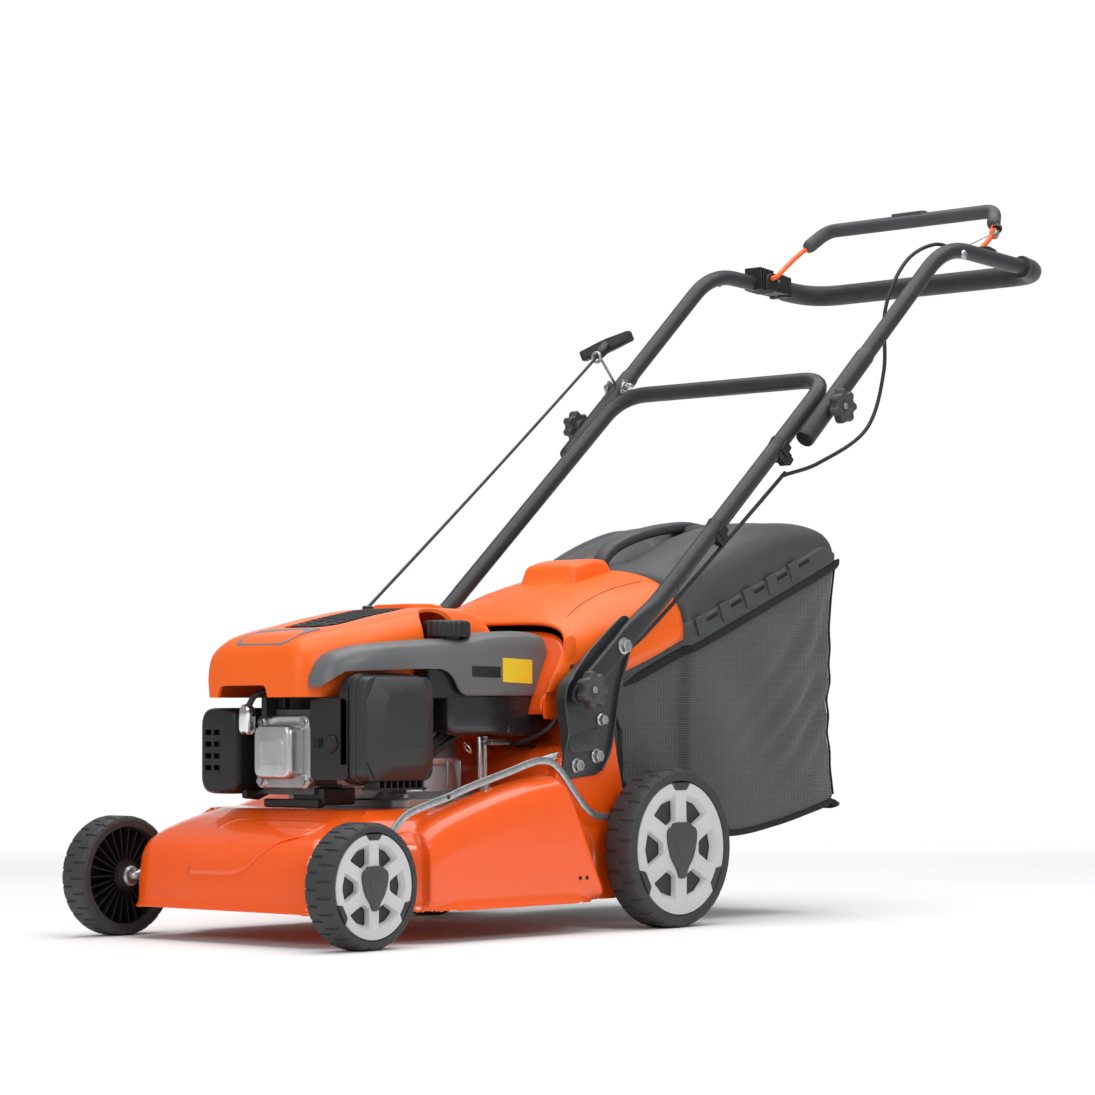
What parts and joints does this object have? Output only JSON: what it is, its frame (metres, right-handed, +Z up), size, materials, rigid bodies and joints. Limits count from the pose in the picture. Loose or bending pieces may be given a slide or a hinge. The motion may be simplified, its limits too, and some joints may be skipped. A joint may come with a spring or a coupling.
{
  "type": "walk-behind lawn mower",
  "caption": "Orange petrol push lawn mower with a folding tube handle, pull starter, cutting height link and a rear grass bag.",
  "frame": {"origin": "on the ground, under the middle of the whole length and width", "axes": "+Z up, -Y the front of the mower, +X the operator's left"},
  "size_m": [0.4878, 1.4385, 0.988],
  "materials": {
    "orange_enamel": "glossy",
    "orange_plastic": "satin",
    "dark_plastic": "satin",
    "black_plastic": "satin",
    "tyre": "moulded",
    "trim": "satin",
    "shroud": "satin",
    "tube_paint": "powder coated",
    "black_steel": "powder coated",
    "zinc": "galvanised",
    "aluminium": "die cast",
    "chrome": "polished",
    "cast_iron": "rough cast",
    "grip_rubber": "matt",
    "bail_orange": "plastic coated",
    "cord": "matt",
    "bag_cloth": "woven"
  },
  "bodies": {
    "mower": {"deck": "orange_enamel", "bracket_left": "black_steel", "bracket_right": "black_steel", "top_cover": "orange_plastic", "intake_grille": "black_plastic", "side_shroud": "shroud", "fuel_tank": "black_plastic", "crankcase": "aluminium", "cylinder_head": "cast_iron", "rocker_cover": "aluminium", "spark_plug_boot": "chrome", "muffler": "cast_iron", "muffler_guard": "black_plastic", "air_filter_base": "black_plastic", "air_filter_cover": "dark_plastic", "carburettor": "aluminium", "starter_rope": "cord", "brake_cable_lower": "cord"},
    "front_axle": {"front_axle": "zinc"},
    "rear_axle": {"rear_axle": "zinc"},
    "height_link": {"height_link": "zinc"},
    "lower_handle": {"lower_handle": "tube_paint"},
    "upper_handle": {"upper_handle": "tube_paint", "handle_grip": "grip_rubber", "bail_bracket_left": "black_plastic", "bail_bracket_right": "black_plastic", "rope_guide": "zinc", "brake_cable_upper": "cord"},
    "bail": {"bail_wire": "bail_orange", "bail_grip": "dark_plastic"},
    "brake_lever": {"brake_lever": "zinc"},
    "rear_flap": {"rear_flap": "orange_plastic"},
    "grass_bag": {"bag_lid": "dark_plastic", "bag_cloth": "bag_cloth", "bag_frame": "black_steel"},
    "fuel_cap": {"fuel_cap": "black_plastic"},
    "crank": {"crankshaft": "cast_iron", "flywheel": "cast_iron", "blade_adapter": "cast_iron", "blade": "black_steel"},
    "starter_pulley": {"starter_pulley": "black_plastic"},
    "starter_grip": {"starter_grip": "black_plastic"},
    "front_left_wheel": {"front_left_wheel": "tyre", "front_left_trim": "trim", "front_left_cap": "dark_plastic"},
    "front_right_wheel": {"front_right_wheel": "tyre", "front_right_trim": "trim", "front_right_cap": "dark_plastic"},
    "rear_left_wheel": {"rear_left_wheel": "tyre", "rear_left_trim": "trim", "rear_left_cap": "dark_plastic"},
    "rear_right_wheel": {"rear_right_wheel": "tyre", "rear_right_trim": "trim", "rear_right_cap": "dark_plastic"},
    "knob_lower_left": {"knob_lower_left": "dark_plastic"},
    "knob_lower_right": {"knob_lower_right": "dark_plastic"},
    "knob_upper_left": {"knob_upper_left": "dark_plastic"},
    "knob_upper_right": {"knob_upper_right": "dark_plastic"}
  },
  "joints": [
    {"name": "front_axle_turn", "type": "hinge", "parent": "mower", "child": "front_axle", "pos_m": [0, -0.6068, 0.0879], "axis": [1, 0, 0], "range_deg": [-10, 34]},
    {"name": "rear_axle_turn", "type": "hinge", "parent": "mower", "child": "rear_axle", "pos_m": [0, -0.0808, 0.1139], "axis": [1, 0, 0], "range_deg": [-10, 34]},
    {"name": "height_link_swing", "type": "hinge", "parent": "front_axle", "child": "height_link", "pos_m": [0.1837, -0.5848, 0.1179], "axis": [1, 0, 0], "range_deg": [-34, 10]},
    {"name": "lower_handle_fold", "type": "hinge", "parent": "mower", "child": "lower_handle", "pos_m": [0, -0.1805, 0.344], "axis": [1, 0, 0], "range_deg": [0, 118], "deforming": ["starter_rope", "brake_cable_lower"]},
    {"name": "upper_handle_fold", "type": "hinge", "parent": "lower_handle", "child": "upper_handle", "pos_m": [0, 0.2015, 0.66], "axis": [1, 0, 0], "range_deg": [-85, 0], "deforming": ["starter_rope", "brake_cable_upper"]},
    {"name": "bail_turn", "type": "hinge", "parent": "upper_handle", "child": "bail", "pos_m": [0, 0.5795, 0.9], "axis": [1, 0, 0], "range_deg": [-33, 0], "stiffness_Nm_per_rad": 0.9, "springref_deg": 34.38},
    {"name": "brake_lever_turn", "type": "hinge", "parent": "mower", "child": "brake_lever", "pos_m": [0.088, -0.3235, 0.229], "axis": [0, 0, 1], "range_deg": [0, 26]},
    {"name": "rear_flap_turn", "type": "hinge", "parent": "mower", "child": "rear_flap", "pos_m": [0, -0.2395, 0.318], "axis": [1, 0, 0], "range_deg": [0, 30], "stiffness_Nm_per_rad": 0.5, "springref_deg": -22.92},
    {"name": "grass_bag_slide", "type": "slide", "parent": "mower", "child": "grass_bag", "axis": [0, 1, 0], "range_m": [0, 0.25]},
    {"name": "fuel_cap_turn", "type": "hinge", "parent": "mower", "child": "fuel_cap", "pos_m": [0.094, -0.3955, 0.36], "axis": [0, 0, 1], "range_deg": [0, 90]},
    {"name": "crank_turn", "type": "hinge", "parent": "mower", "child": "crank", "pos_m": [0, -0.3855, 0.2], "axis": [0, 0, 1], "continuous": true},
    {"name": "starter_pull", "type": "slide", "parent": "upper_handle", "child": "starter_grip", "axis": [-0.2498, 0.6995, 0.6695], "range_m": [0, 0.4], "stiffness_N_per_m": 15, "springref_m": -0.25, "deforming": ["starter_rope"]},
    {"name": "starter_pulley_turn", "type": "hinge", "parent": "mower", "child": "starter_pulley", "pos_m": [0, -0.3855, 0.352], "axis": [0, 0, 1], "range_deg": [0, 890]},
    {"name": "front_left_wheel_spin", "type": "hinge", "parent": "front_axle", "child": "front_left_wheel", "pos_m": [0.209, -0.6485, 0.071], "axis": [1, 0, 0], "continuous": true},
    {"name": "front_right_wheel_spin", "type": "hinge", "parent": "front_axle", "child": "front_right_wheel", "pos_m": [-0.209, -0.6485, 0.071], "axis": [1, 0, 0], "continuous": true},
    {"name": "rear_left_wheel_spin", "type": "hinge", "parent": "rear_axle", "child": "rear_left_wheel", "pos_m": [0.209, -0.1225, 0.097], "axis": [1, 0, 0], "continuous": true},
    {"name": "rear_right_wheel_spin", "type": "hinge", "parent": "rear_axle", "child": "rear_right_wheel", "pos_m": [-0.209, -0.1225, 0.097], "axis": [1, 0, 0], "continuous": true},
    {"name": "knob_lower_left_turn", "type": "hinge", "parent": "lower_handle", "child": "knob_lower_left", "pos_m": [0.195, -0.2525, 0.29], "axis": [1, 0, 0], "continuous": true},
    {"name": "knob_upper_left_turn", "type": "hinge", "parent": "upper_handle", "child": "knob_upper_left", "pos_m": [0.225, 0.2015, 0.66], "axis": [1, 0, 0], "continuous": true},
    {"name": "knob_lower_right_turn", "type": "hinge", "parent": "lower_handle", "child": "knob_lower_right", "pos_m": [-0.195, -0.2525, 0.29], "axis": [1, 0, 0], "continuous": true},
    {"name": "knob_upper_right_turn", "type": "hinge", "parent": "upper_handle", "child": "knob_upper_right", "pos_m": [-0.225, 0.2015, 0.66], "axis": [1, 0, 0], "continuous": true}
  ],
  "couplings": [
    {"joint": "rear_axle_turn", "follows": "front_axle_turn", "ratio": 1},
    {"joint": "height_link_swing", "follows": "front_axle_turn", "ratio": -1},
    {"joint": "brake_lever_turn", "follows": "bail_turn", "ratio": -0.75},
    {"joint": "starter_pulley_turn", "follows": "starter_pull", "rad_per_m": 38.5}
  ]
}
